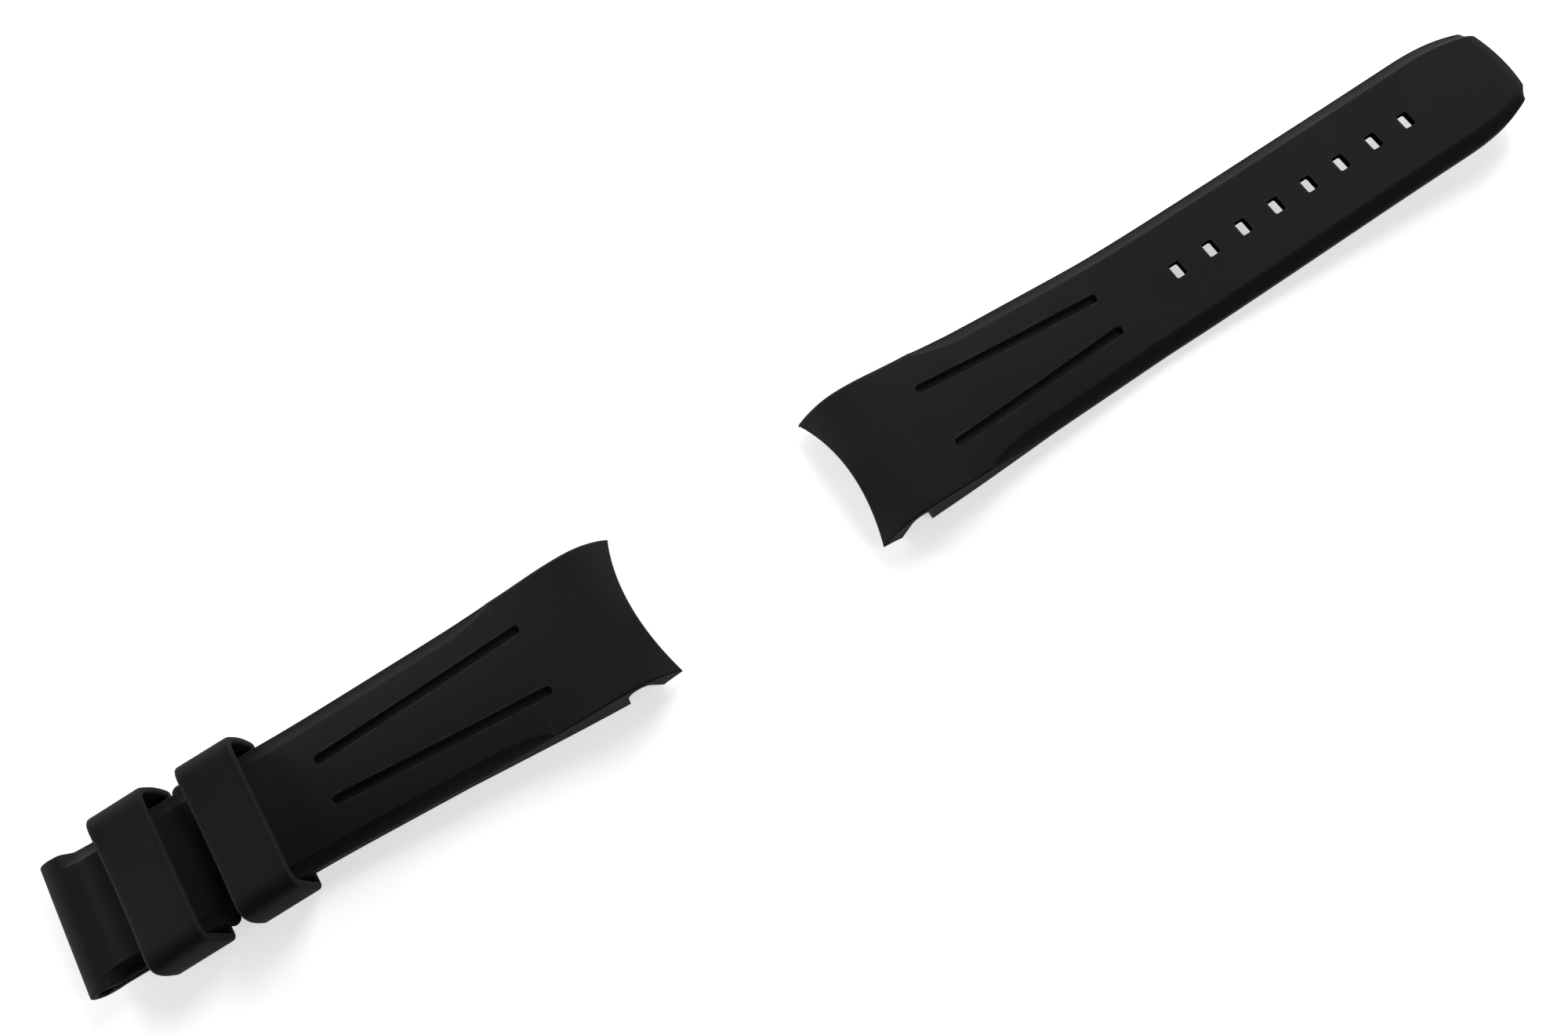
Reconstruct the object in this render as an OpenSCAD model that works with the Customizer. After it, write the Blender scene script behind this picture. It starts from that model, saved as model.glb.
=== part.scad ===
// Black rubber watch strap in two halves with two rubber keepers
// Units are millimetres, the origin is the middle of the bar bore of the buckle half
// X runs along the strap toward the hole half, Z is up, the table lies at Z = -bar_h

/* [Fit] */
// Spacing of the case lugs, the full width of both watch ends
lug_w = 22; // [18:0.5:24]
// Distance between the two bar bores as the halves lie
bar_spacing = 43.9; // [38:0.1:56]
// Angle by which the hole half lies out of line
yaw = 2.3; // [0:0.1:5]
// Sideways offset of the hole half at its bar bore
side_shift = 0.97; // [0:0.01:3]

/* [Watch end] */
// Distance from the tip corners back to the bar axis
bar_back = 6; // [5:0.1:8]
// Height of the bar axis over the underside of the end block
bar_h = 3; // [2.4:0.1:4]
// Radius of the concave end arc that hugs the case
end_r = 35.6; // [20:0.1:60]
// Length over which the top rolls down to the end arc
roll_len = 9; // [6:0.1:12]
// Drop of the top edge at the middle of the arc
roll_mid = 1.2; // [0.5:0.1:2.5]
// Drop of the top edge at the tip corners
roll_edge = 4.1; // [2:0.1:4.6]
// Set back of the lower front edge at the tip corners
under_back = 2.7; // [1:0.1:3.4]
// Set back of the lower front edge at the middle
under_back_mid = 1.6; // [0.5:0.1:2]
// Height of the lower front edge over the underside
nose_h = 0.4; // [0.2:0.1:1]
// Length of the thick end block
block_len = 9.2; // [8:0.1:12]
// Radius of the roof of the side notches round the bar ends
notch_r = 1.8; // [1.7:0.1:2]
// Distance of that roof's centre behind the bar axis
notch_back = 0.3; // [0:0.1:0.4]
// Reach of the side notches in front of the bar axis at the underside
notch_front = 3.1; // [2.4:0.1:3.4]
// Reach of the side notches behind the bar axis at the underside
notch_rear = 2.45; // [2.2:0.05:2.6]
// Depth of the side notches into the width
notch_d = 2; // [1:0.1:3]

/* [Bar tubes] */
// Inner radius of the bar tubes, for a bar 1.8 across
tube_in = 0.95; // [0.7:0.01:1.1]
// Wall of the bar tubes
tube_wall = 0.3; // [0.2:0.05:0.4]

/* [Strap outline] */
// Half width of the straps 16.8 behind the tips
half_w_a = 10.71; // [9:0.01:12]
// Half width of the hole half 48.7 behind the tips
half_w_b = 9.48; // [8:0.01:11]
// Half width of the hole half before its tail
half_w_c = 9.18; // [8:0.01:11]
// Half width of the buckle half 48.7 behind the tips
half_w_d = 9.57; // [8:0.01:11]
// Half width of the buckle half at the fold
half_w_e = 9.25; // [8:0.01:10]
// Width of the side bevels
bevel_w = 1.9; // [1:0.1:2.5]
// Drop of the side bevels
bevel_d = 1.35; // [0.5:0.05:2]
// Distance behind the tips where the side bevels begin
bevel_from = 18.8; // [14:0.1:24]
// Length of the curved run out of the bevels
bevel_run = 6.5; // [2:0.1:10]
// Share of the side bevels that is left at the end of the tail
bevel_tail = 0.85; // [0.5:0.05:1]
// Length over which the side bevels run out before the fold
bevel_out = 0.9; // [0.5:0.1:3]
// Small edge break wherever there is no bevel
edge = 0.25; // [0.1:0.05:0.4]

/* [Heights over the table] */
// Top of both halves behind the roll
top_block = 6.03; // [5:0.01:7]
// Top of the buckle half 15.7 behind the tips
top_b1 = 5.5; // [4:0.1:7]
// Top of the buckle half 28.7 behind the tips
top_b2 = 5.1; // [4:0.1:7]
// Top of the buckle half 48.7 behind the tips
top_b3 = 4.85; // [4:0.05:6]
// Top of the buckle half at the keepers
top_b4 = 4.9; // [4:0.05:6]
// Top of the hole half 15.7 behind the tips
top_h1 = 4.95; // [4:0.05:7]
// Top of the hole half 28.7 behind the tips
top_h2 = 3.85; // [3:0.05:6]
// Top of the hole half at its lowest place
top_h3 = 2.95; // [2.6:0.05:5]
// Top of the hole half 70.7 behind the tips
top_h4 = 3.65; // [2.6:0.05:6]
// Top of the hole half 92.7 behind the tips
top_h5 = 5.05; // [2.6:0.05:8]
// Top of the hole half at the end of the tail
top_h6 = 6.45; // [2.6:0.05:10]
// Thickness of the hole half right behind the end block
thick_h0 = 5.7; // [4:0.05:6]
// Thickness of the hole half 30 behind the tips
thick_h1 = 3.05; // [2.4:0.05:4]
// Thickness of the hole half at the tail
thick_h2 = 3; // [1.8:0.05:3.4]
// Thickness of the buckle half right behind the end block
thick_b1 = 5.85; // [4:0.05:6]
// Thickness of the buckle half along the middle
thick_b2 = 3.55; // [2.5:0.05:4]

/* [Grooves] */
// Distance behind the tips of the wide groove ends
groove_s1 = 16.9; // [14:0.1:20]
// Distance behind the tips of the narrow groove ends of the hole half
groove_h2 = 45.9; // [40:0.1:50]
// Distance behind the tips of the narrow groove ends of the buckle half
groove_b2 = 47.6; // [40:0.1:50]
// Sideways place of the wide groove ends
groove_y1 = 4.87; // [3:0.01:7]
// Sideways place of the narrow groove ends
groove_y2 = 3.08; // [2:0.01:5]
// Width of the grooves
groove_w = 1.4; // [0.8:0.1:2]
// Depth of the grooves
groove_d = 0.8; // [0.4:0.1:1.2]

/* [Holes] */
// Number of adjusting holes
holes = 8; // [5:1:9]
// Distance behind the tips of the first hole
hole_s = 58.75; // [50:0.05:70]
// Pitch of the holes
hole_pitch = 5.86; // [5:0.01:7]
// Size of the holes along the strap
hole_len = 1.75; // [1:0.05:3]
// Size of the holes across the strap
hole_wide = 2.4; // [1:0.1:4]
// Corner radius of the holes
hole_r = 0.25; // [0.1:0.05:0.5]
// Thickness of the rubber left at the holes, over the channel in the underside
web_t = 1.3; // [1:0.05:1.8]
// Width of that channel
channel_w = 5; // [3:0.1:8]

/* [Tail] */
// Length of the hole half from the tip corners to the tail corners
tail_s = 116.8; // [100:0.1:130]
// Distance behind the tips where the tail starts to narrow
tail_from = 104; // [95:0.1:110]
// Half width of the tail at its end corners
tail_half = 6.85; // [4:0.05:8]
// Bulge of the end of the tail
tail_bulge = 1.0; // [0.2:0.1:3]

/* [Fold] */
// Distance behind the tips of the bore for the clasp bar
loop_s = 84.1; // [78:0.1:90]
// Height of the bore for the clasp bar over the table
loop_z = 3.2; // [3:0.05:3.6]
// Radius of the bore for the clasp bar
loop_in = 1.0; // [0.7:0.05:1.1]
// Wall of the rubber round the clasp bar
loop_wall = 1.0; // [0.7:0.05:1.3]
// Length of the tongue from the clasp bar back under the strap
tongue_len = 22.1; // [19:0.1:26]
// Thickness of the tongue under the strap
tongue_t = 1.05; // [0.8:0.05:1.4]
// Gap between the tongue and the strap over it
tongue_gap = 0.25; // [0.15:0.05:0.4]
// Height of the underside of the tongue over the table
tongue_z = 1.35; // [1.2:0.05:1.6]
// Half width of the rubber round the clasp bar
fold_half = 9.5; // [9:0.05:10]
// Depth of the shallow valley between the strip and the clasp bar
valley_d = 0.5; // [0.2:0.1:0.9]
// Length of that valley
valley_len = 0.8; // [0.5:0.1:1.2]
// Distance of the side stops from the clasp bar
stop_gap = 17.9; // [16.5:0.1:19]
// Radius of the side stops
stop_r = 1.35; // [0.8:0.05:1.5]
// Half width over the side stops
stop_half = 11.25; // [10:0.05:11.4]
// Height of the side stops
stop_h = 2.1; // [1:0.1:3]

/* [Keepers] */
// Outer half width of the keepers
keeper_half = 11.65; // [11:0.05:13]
// Outer height of the keepers
keeper_h = 8.6; // [7:0.1:10]
// Wall of the keepers
keeper_wall = 1.15; // [0.8:0.05:1.6]
// Length of the keepers along the strap
keeper_len = 8.1; // [6:0.1:10]
// Outer radius of the upper keeper corners
keeper_rt = 2.1; // [1.5:0.1:3.5]
// Outer radius of the lower keeper corners
keeper_rb = 1.6; // [1.3:0.1:3]
// Distance from the clasp bar to the far side of the fold keeper
fold_keeper_gap = 7.5; // [6:0.1:8.3]
// Sideways rest of the fold keeper
fold_keeper_y = 0.2; // [0:0.05:0.4]
// Distance from the clasp bar to the far side of the sliding keeper
slide_keeper_gap = 20.2; // [19.6:0.1:44]
// Angle by which the sliding keeper lies askew
slide_keeper_skew = 0.9; // [0:0.1:1.5]

/* [Hidden] */
$fn = 64;

lug_half = lug_w / 2;
tube_out = tube_in + tube_wall;
tube_len = lug_w - 2 * notch_d;
loop_out = loop_in + loop_wall;
gap_z = tongue_z + tongue_t;
step_z = gap_z + tongue_gap;
strip_end = loop_s - loop_out - valley_len;
tongue_s = loop_s - tongue_len;
stop_s = loop_s - stop_gap;
fold_keeper_s = loop_s - fold_keeper_gap - keeper_len;
slide_keeper_s = loop_s - slide_keeper_gap - keeper_len;

// Places behind the tips to which the widths belong
width_s1 = 8;
width_s2 = 16.8;
width_s3 = 48.7;
width_s4 = 80;
width_s5 = 92.7;
// Places behind the tips to which the heights of both halves belong
top_s0 = 6.7;
top_s1 = 15.7;
top_s2 = 28.7;
// The same for the buckle half alone
top_b_s3 = 48.7;
top_b_s4 = 66;
thick_b_s = 32;
// The same for the hole half alone, with the lowest place from one to the other
top_h_s3 = 48;
top_h_s3_end = 57;
top_h_s4 = 70.7;
top_h_s5 = 92.7;
thick_h_s = 30;
// A place beyond either half
beyond = 200;

// Fall of the half width along the end block
block_taper = 0.05;
// Lengths over which the end arc fades from the top and the lower edge
arc_fade = 12;
low_fade = 9;
// Length of the raised front of the underside
nose_len = 1.2;
// How suddenly the tail narrows
tail_power = 2.6;
// Length over which the tail bulges, and size of the edge break at its end
bulge_len = 6;
lip_len = 0.9;
lip_d = 0.5;
// Gap between the end of the bevels of the buckle half and the end of its strip
bevel_gap = 0.3;
// Reach of the underside channel beyond the middles of the first and the last hole
channel_reach = 2.5;
// Points across the top and the underside of each ring
across = 12;
// Length of the steps in the underside
step_len = 0.3;
// How far cuts reach beyond what they cut
over = 1;

// Helpers: a value held between 0 and 1, a value between two, and a table read with rounded corners
function unit(v) = max(0, min(1, v));
function mix(a, b, t) = a + (b - a) * t;
function soft(s, t) = (lookup(s - 3, t) + lookup(s - 1, t) + lookup(s + 1, t) + lookup(s + 3, t)) / 4;

// Half width at a place behind the tips
width_start = [[0, lug_half], [width_s1, lug_half - block_taper], [width_s2, half_w_a]];
width_tab_h = concat(width_start, [[width_s3, half_w_b], [width_s5, half_w_c], [beyond, half_w_c]]);
width_tab_b = concat(width_start, [[width_s3, half_w_d], [width_s4, half_w_e], [beyond, half_w_e]]);
function tail_part(s) = unit((s - tail_from) / (tail_s - tail_from));
function half_h(s) = half_w(s, width_tab_h) - (half_w_c - tail_half) * pow(tail_part(s), tail_power);
function half_w(s, table) = s < 1 ? lug_half : soft(s, table);

// Height of the top face before the roll
top_start = [[0, top_block], [top_s0, top_block]];
top_low_h = [[top_s1, top_h1], [top_s2, top_h2], [top_h_s3, top_h3], [top_h_s3_end, top_h3]];
top_tab_h = concat(top_start, top_low_h, [[top_h_s4, top_h4], [top_h_s5, top_h5], [tail_s, top_h6]]);
top_low_b = [[top_s1, top_b1], [top_s2, top_b2], [top_b_s3, top_b3]];
top_tab_b = concat(top_start, top_low_b, [[top_b_s4, top_b4], [beyond, top_b4]]);
function top_h(s) = soft(s, top_tab_h);
function top_b(s) = soft(s, top_tab_b);

// Height of the underside
thick_tab_h = [[block_len, thick_h0], [thick_h_s, thick_h1], [tail_s, thick_h2]];
thick_tab_b = [[block_len, thick_b1], [thick_b_s, thick_b2], [beyond, thick_b2]];
function nose(s) = nose_h * unit(1 - s / nose_len);
function body_h(s) = max(0, top_h(s) - lookup(s, thick_tab_h));
function body_b(s) = max(s < thick_b_s ? 0 : tongue_z, top_b(s) - lookup(s, thick_tab_b));
function under_h(s) = s <= block_len ? nose(s) : body_h(s);
function under_b(s) = s <= block_len ? nose(s) : s < tongue_s - step_len * 1.5 ? body_b(s) : step_z;

// Share of the full bevel at a place behind the tips
function bevel_in(s) = sqrt(unit((s - bevel_from) / bevel_run));
function bevel_h(s) = bevel_in(s) * mix(1, bevel_tail, tail_part(s));
function bevel_b(s) = bevel_in(s) * sqrt(unit((strip_end - bevel_gap - s) / bevel_out));

// Shape of the end arc, of the roll toward it and of the end of the tail
function arc_x(y) = sqrt(pow(end_r, 2) - pow(y, 2));
function arc(y) = arc_x(min(abs(y), lug_half)) - arc_x(lug_half);
function share(y) = pow(y / lug_half, 2);
function roll(s, y) = pow(unit(1 - s / roll_len), 3) * mix(roll_mid, roll_edge, share(y));
function set_back(y) = mix(under_back_mid, under_back, share(y));
function bulge(s, y) = tail_bulge * unit((s - tail_s + bulge_len) / bulge_len) * (1 - pow(y / tail_half, 2));
function lip(s) = lip_d * unit((s - tail_s + lip_len) / lip_len);

// A point of the top and a point of the underside, moved b along the strap
function top_pt(s, y, z, b) = [s + arc(y) * unit(1 - s / arc_fade) + b, y, z - roll(s, y)];
function low_pt(s, y, z, b) = [s + (arc(y) + set_back(y)) * unit(1 - s / low_fade) + b, y, z];

// One ring of points at a place s, round the section from its far to its near side and back
// hw is the half width, zt the top, zb the underside, k the share of the bevel, t the share of the bulge
function ring(s, hw, zt, zb, k, t) = let(
    bw = mix(edge, bevel_w, k),
    bd = mix(edge, bevel_d, k),
    low_z = zb + lip(s) * t / 2,
    top_z = zt - lip(s) * t,
    end_b = t * bulge(s, hw),
    n = across,
    cove = [for (u = [1 / 3, 2 / 3, 1]) [mix(hw - bw, hw, u), top_z - bd * (1 - pow(1 - u, 2))]]
  ) concat(
    [for (i = [0 : n]) let(y = (hw - bw) * (2 * i / n - 1)) top_pt(s, y, top_z, t * bulge(s, y))],
    [for (p = cove) top_pt(s, p[0], p[1], end_b)],
    [low_pt(s, hw, zb + edge, end_b)],
    [for (i = [0 : n]) let(y = (hw - edge) * (1 - 2 * i / n)) low_pt(s, y, low_z, t * bulge(s, y))],
    [low_pt(s, -hw, zb + edge, end_b)],
    [for (i = [2, 1, 0]) top_pt(s, -cove[i][0], cove[i][1], end_b)]
  );

// A closed shell through a list of such rings
module shell(rings) {
  n = across;
  m = len(rings[0]);
  last = (len(rings) - 1) * m;
  pts = [for (r = rings) each r];
  sides = [for (i = [0 : m : last - m]) for (j = [0 : m - 1]) let(
      a = i + j,
      b = i + (j + 1) % m
    ) each [[a, b, a + m], [b, b + m, a + m]]];
  right_low = n + 5;
  left_low = 2 * n + 5;
  left = [0, m - 1, m - 2, m - 3, m - 4];
  front = concat(
    [for (i = [0 : n - 1]) each [[i, left_low - i, i + 1], [i + 1, left_low - i, left_low - i - 1]]],
    [for (i = [n : n + 3]) [i, right_low, i + 1]],
    [for (i = [0 : 3]) [left[i], left[i + 1], left_low]]
  );
  back = [for (f = front) [f[0] + last, f[2] + last, f[1] + last]];
  polyhedron(points = pts, faces = concat(sides, front, back), convexity = 8);
}

// A groove with round ends that keeps its depth under the top face
module groove(side, hole_half) {
  r = groove_w / 2;
  run = (hole_half ? groove_h2 : groove_b2) - groove_s1;
  length = norm([run, groove_y2 - groove_y1]);
  ds = run / length;
  dy = (groove_y2 - groove_y1) / length;
  first_angle = 10;
  angle_step = 16;
  middle_steps = 10;
  head = [for (a = [first_angle : angle_step : 90]) [-r * cos(a), r * sin(a)]];
  middle = [for (i = [1 : middle_steps - 1]) [length * i / middle_steps, r]];
  tail = [for (a = [90 : -angle_step : first_angle]) [length + r * cos(a), r * sin(a)]];
  steps = concat(head, middle, tail);
  pts = [for (step = steps) let(
      s = groove_s1 + ds * step[0],
      y = groove_y1 + dy * step[0],
      low = (hole_half ? top_h(s) : top_b(s)) - groove_d,
      high = low + groove_d + over,
      ws = -dy * step[1],
      wy = ds * step[1]
    ) each [[s + ws, y + wy, low], [s - ws, y - wy, low], [s - ws, y - wy, high], [s + ws, y + wy, high]]];
  last = 4 * (len(steps) - 1);
  walls = [for (i = [0 : 4 : last - 4]) for (j = [0 : 3]) let(
      a = i + j,
      b = i + (j + 1) % 4
    ) each [[a, b, a + 4], [b, b + 4, a + 4]]];
  caps = [[0, 2, 1], [0, 3, 2], [last, last + 1, last + 2], [last, last + 2, last + 3]];
  mirror([0, side < 0 ? 1 : 0, 0]) {
    polyhedron(points = pts, faces = concat(walls, caps), convexity = 4);
  }
}

// Side view of a notch: a round roof over an opening to the underside
module notch_profile() {
  roof_from = 150;
  roof_to = 10;
  roof_step = 20;
  roof = [for (a = [roof_from : -roof_step : roof_to])
    [bar_back + notch_back + notch_r * cos(a), bar_h + notch_r * sin(a)]];
  lean = (roof[0][0] - bar_back + notch_front) / roof[0][1];
  front_foot = [bar_back - notch_front - lean * over, -over];
  rear_foot = [bar_back + notch_rear, -over];
  polygon(concat([front_foot], roof, [rear_foot]));
}

// Everything cut out of a watch end: the bar bore and the two side notches
module end_cuts() {
  translate([bar_back, 0, bar_h]) rotate([90, 0, 0]) {
    cylinder(h = lug_w + 2 * over, r = tube_out, center = true);
  }
  for (side = [-1, 1]) {
    translate([0, side * (lug_half + over / 2), 0]) rotate([90, 0, 0]) {
      linear_extrude(height = 2 * notch_d + over, center = true) notch_profile();
    }
  }
}

// One adjusting hole with rounded corners
module peg_hole() {
  a = hole_len / 2 - hole_r;
  b = hole_wide / 2 - hole_r;
  linear_extrude(height = 2 * tail_bulge + top_h6 + over) {
    square([hole_len, 2 * b], center = true);
    square([2 * a, hole_wide], center = true);
    for (x = [-a, a]) {
      for (y = [-b, b]) {
        translate([x, y]) circle(r = hole_r, $fn = 24);
      }
    }
  }
}

// The channel in the underside, which thins the rubber at the holes
module channel() {
  from = hole_s - channel_reach;
  to = hole_s + (holes - 1) * hole_pitch + channel_reach;
  steps = 8;
  roof = [for (i = [0 : steps]) let(s = mix(from, to, i / steps)) [s, top_h(s) - web_t]];
  rotate([90, 0, 0]) linear_extrude(height = channel_w, center = true) {
    polygon(concat([[from, -over]], roof, [[to, -over]]));
  }
}

// Places of the rings: dense where the shape turns, even between
block_end = block_len + step_len;
bevel_end = bevel_from + bevel_run;
stations_front = [0, 0.5, nose_len, 2, 3, 4.5, 6, 7.5, block_len, block_end];
stations_block = [for (i = [1 : 2]) mix(block_end, bevel_from, i / 3)];
stations_bevel = [for (u = [0, 0.07, 0.2, 0.4, 0.7, 1]) mix(bevel_from, bevel_end, u)];
stations_start = concat(stations_front, stations_block, stations_bevel);
stations_run_h = [for (i = [1 : 16]) mix(bevel_end, tail_from, i / 17)];
stations_tail = [for (i = [0 : 7]) mix(tail_from, tail_s - lip_len, i / 7)];
stations_h = concat(stations_start, stations_run_h, stations_tail, [tail_s - lip_len / 2, tail_s]);
stations_run_b = [for (i = [1 : 7]) mix(bevel_end, tongue_s - 2 * step_len, i / 8)];
stations_step = [tongue_s - 2 * step_len, tongue_s - step_len];
bevel_off = strip_end - bevel_gap - bevel_out;
stations_tongue = [for (i = [1 : 4]) mix(tongue_s, bevel_off, i / 5)];
stations_off = [for (u = [0, 0.3, 0.65, 0.9, 1]) bevel_off + u * bevel_out];
stations_end_b = concat(stations_step, stations_tongue, stations_off, [strip_end]);
stations_b = concat(stations_start, stations_run_b, stations_end_b);

module hole_half_body() {
  difference() {
    shell([for (s = stations_h) ring(s, half_h(s), top_h(s), under_h(s), bevel_h(s), 1)]);
    end_cuts();
    groove(1, true);
    groove(-1, true);
    channel();
    for (i = [0 : holes - 1]) {
      translate([hole_s + i * hole_pitch, 0, -over]) peg_hole();
    }
  }
}

// Side view of the fold: round the clasp bar and back under the strap as a tongue
module fold_profile() {
  top = loop_z + loop_out;
  low = loop_z - loop_out;
  joint = 0.6;
  shoulder = 0.9;
  throat_back = 0.75;
  throat_up = 0.5;
  valley_from = loop_s - loop_out;
  throat_end = strip_end - 0.1;
  upper = [
    [strip_end - joint, step_z],
    [loop_s, step_z],
    [loop_s, top],
    [loop_s - shoulder, top - 0.4 * valley_d],
    [valley_from, top - valley_d],
    [valley_from - valley_len, top - valley_d],
    [strip_end - joint, top_b4 - 0.02]
  ];
  tongue = [
    [tongue_s, tongue_z],
    [loop_s - loop_out - over, tongue_z],
    [loop_s, low],
    [loop_s, gap_z],
    [tongue_s, gap_z]
  ];
  throat = [
    [loop_s - throat_back, loop_z + throat_up],
    [loop_s - throat_back, gap_z],
    [throat_end, gap_z],
    [throat_end, step_z]
  ];
  difference() {
    union() {
      translate([loop_s, loop_z]) circle(r = loop_out);
      polygon(upper);
      polygon(tongue);
    }
    translate([loop_s, loop_z]) circle(r = loop_in);
    translate([tongue_s - over, gap_z]) square([tongue_len + over, tongue_gap]);
    polygon(throat);
  }
}

module buckle_half_body() {
  difference() {
    union() {
      shell([for (s = stations_b) ring(s, half_w(s, width_tab_b), top_b(s), under_b(s), bevel_b(s), 0)]);
      rotate([90, 0, 0]) linear_extrude(height = 2 * fold_half, center = true) fold_profile();
      for (side = [-1, 1]) {
        translate([stop_s, side * (stop_half - stop_r), step_z]) {
          cylinder(h = tongue_z + stop_h - step_z, r = stop_r);
        }
      }
    }
    end_cuts();
    groove(1, false);
    groove(-1, false);
  }
}

// Section of a keeper, grown inward by g
module keeper_section(g) {
  lap = 0.01;
  w = keeper_half - g;
  z1 = keeper_h - g;
  rt = keeper_rt - g;
  rb = keeper_rb - g;
  translate([-w, g + rb]) square([2 * w, z1 - g - rb - rt]);
  translate([-w + rt, z1 - rt - lap]) square([2 * (w - rt), rt + lap]);
  translate([-w + rb, g]) square([2 * (w - rb), rb + lap]);
  for (side = [-1, 1]) {
    translate([side * (w - rt), z1 - rt]) circle(r = rt);
    translate([side * (w - rb), g + rb]) circle(r = rb);
  }
}

module keeper_at(s, y, skew) {
  translate([s + keeper_len / 2, y, 0]) rotate([0, 0, skew]) rotate([90, 0, 90]) {
    linear_extrude(height = keeper_len, center = true) difference() {
      keeper_section(0);
      keeper_section(keeper_wall);
    }
  }
}

module tube() {
  translate([bar_back, 0, bar_h]) rotate([90, 0, 0]) difference() {
    cylinder(h = tube_len, r = tube_out, center = true);
    cylinder(h = tube_len + 2 * over, r = tube_in, center = true);
  }
}

// Places a half drawn from its tips along +X into the shared frame
module place_buckle() {
  translate([bar_back, 0, -bar_h]) rotate([0, 0, 180]) children();
}

module place_hole() {
  translate([bar_spacing, side_shift, 0]) rotate([0, 0, yaw]) translate([-bar_back, 0, -bar_h]) children();
}

rubber = [0.09, 0.09, 0.1];
keeper_colour = [0.13, 0.13, 0.14];
steel = [0.7, 0.71, 0.73];

module hole_strap() {
  color(rubber) place_hole() hole_half_body();
}

module buckle_strap() {
  color(rubber) place_buckle() buckle_half_body();
}

module fold_keeper() {
  color(keeper_colour) place_buckle() keeper_at(fold_keeper_s, fold_keeper_y, 0);
}

module sliding_keeper() {
  color(keeper_colour) place_buckle() keeper_at(slide_keeper_s, 0, slide_keeper_skew);
}

module hole_strap_tube() {
  color(steel) place_hole() tube();
}

module buckle_strap_tube() {
  color(steel) place_buckle() tube();
}

hole_strap();
buckle_strap();
fold_keeper();
sliding_keeper();
hole_strap_tube();
buckle_strap_tube();
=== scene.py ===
"""Looks of a black rubber watch strap in two halves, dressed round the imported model.

Shapes are worked out in millimetres in the frame of one half: s runs back from its tip
corners, y lies across it and z is the height over the table. Placing turns them into metres
in the shared frame.
"""

import math

import bmesh
import bpy
from mathutils import Matrix, Vector
from mathutils.geometry import tessellate_polygon


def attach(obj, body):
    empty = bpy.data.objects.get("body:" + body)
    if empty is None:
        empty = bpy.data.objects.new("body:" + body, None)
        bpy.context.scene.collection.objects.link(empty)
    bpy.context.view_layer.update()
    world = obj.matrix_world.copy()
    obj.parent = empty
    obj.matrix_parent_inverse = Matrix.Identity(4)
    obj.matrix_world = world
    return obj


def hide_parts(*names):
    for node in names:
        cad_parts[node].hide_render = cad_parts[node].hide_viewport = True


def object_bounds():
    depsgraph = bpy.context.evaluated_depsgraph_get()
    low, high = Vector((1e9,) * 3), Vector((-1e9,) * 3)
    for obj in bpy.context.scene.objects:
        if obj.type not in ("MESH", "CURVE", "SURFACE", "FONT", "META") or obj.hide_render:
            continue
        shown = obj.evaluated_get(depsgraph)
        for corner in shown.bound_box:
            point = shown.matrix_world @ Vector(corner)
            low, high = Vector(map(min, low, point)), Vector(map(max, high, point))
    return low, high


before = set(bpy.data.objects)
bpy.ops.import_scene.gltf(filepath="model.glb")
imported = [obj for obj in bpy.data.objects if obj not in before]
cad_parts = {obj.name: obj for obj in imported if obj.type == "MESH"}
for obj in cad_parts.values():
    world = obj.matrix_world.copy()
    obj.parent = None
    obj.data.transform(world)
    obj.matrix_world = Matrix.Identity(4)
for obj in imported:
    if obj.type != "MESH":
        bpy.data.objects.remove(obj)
cad_box = [list(corner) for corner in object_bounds()]

MM = 0.001

# Sizes that the part's source has too: lengths in millimetres, with an angle, a count, a
# power and a share among them
LUG_HALF = 11.0
BAR_BACK = 6.0
BAR_H = 3.0
BAR_SPACING = 43.9
YAW = math.radians(2.3)
SIDE_SHIFT = 0.97
END_R = 35.6
ARC_FADE = 12
LOW_FADE = 9
ROLL_LEN = 9.0
ROLL_MID = 1.2
ROLL_EDGE = 4.1
UNDER_BACK = 2.7
UNDER_BACK_MID = 1.6
NOSE_H = 0.4
NOSE_LEN = 1.2
BLOCK_LEN = 9.2
NOTCH_R = 1.8
NOTCH_BACK = 0.3
NOTCH_FRONT = 3.1
NOTCH_REAR = 2.45
NOTCH_D = 2.0
TUBE_IN = 0.95
TUBE_OUT = 1.25
BEVEL_W = 1.9
BEVEL_D = 1.35
BEVEL_FROM = 18.8
BEVEL_RUN = 6.5
BEVEL_TAIL = 0.85
EDGE = 0.25
TAIL_S = 116.8
TAIL_FROM = 104.0
TAIL_HALF = 6.85
TAIL_POWER = 2.6
TAIL_BULGE = 1.0
BULGE_LEN = 6
LIP_LEN = 0.9
LIP_D = 0.5
GROOVE_FROM = 16.9
GROOVE_TO_H = 45.9
GROOVE_TO_B = 47.6
GROOVE_Y = (4.87, 3.08)
GROOVE_W = 1.4
GROOVE_D = 0.8
HOLES = 8
HOLE_S = 58.75
HOLE_PITCH = 5.86
HOLE_LEN = 1.75
HOLE_WIDE = 2.4
HOLE_CORNER = 0.25
WEB_T = 1.3
CHANNEL_W = 5.0
CHANNEL_REACH = 2.5
LOOP_S = 84.1
LOOP_Z = 3.2
LOOP_IN = 1.0
LOOP_OUT = 2.0
VALLEY_LEN = 0.8
TONGUE_S = 62.0
TONGUE_Z = 1.35
TONGUE_T = 1.05
TONGUE_GAP = 0.25
FOLD_HALF = 9.5
STOP_S = 66.2
KEEPER_HALF = 11.65
KEEPER_H = 8.6
KEEPER_WALL = 1.15
KEEPER_LEN = 8.1
KEEPER_RT = 2.1

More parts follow.
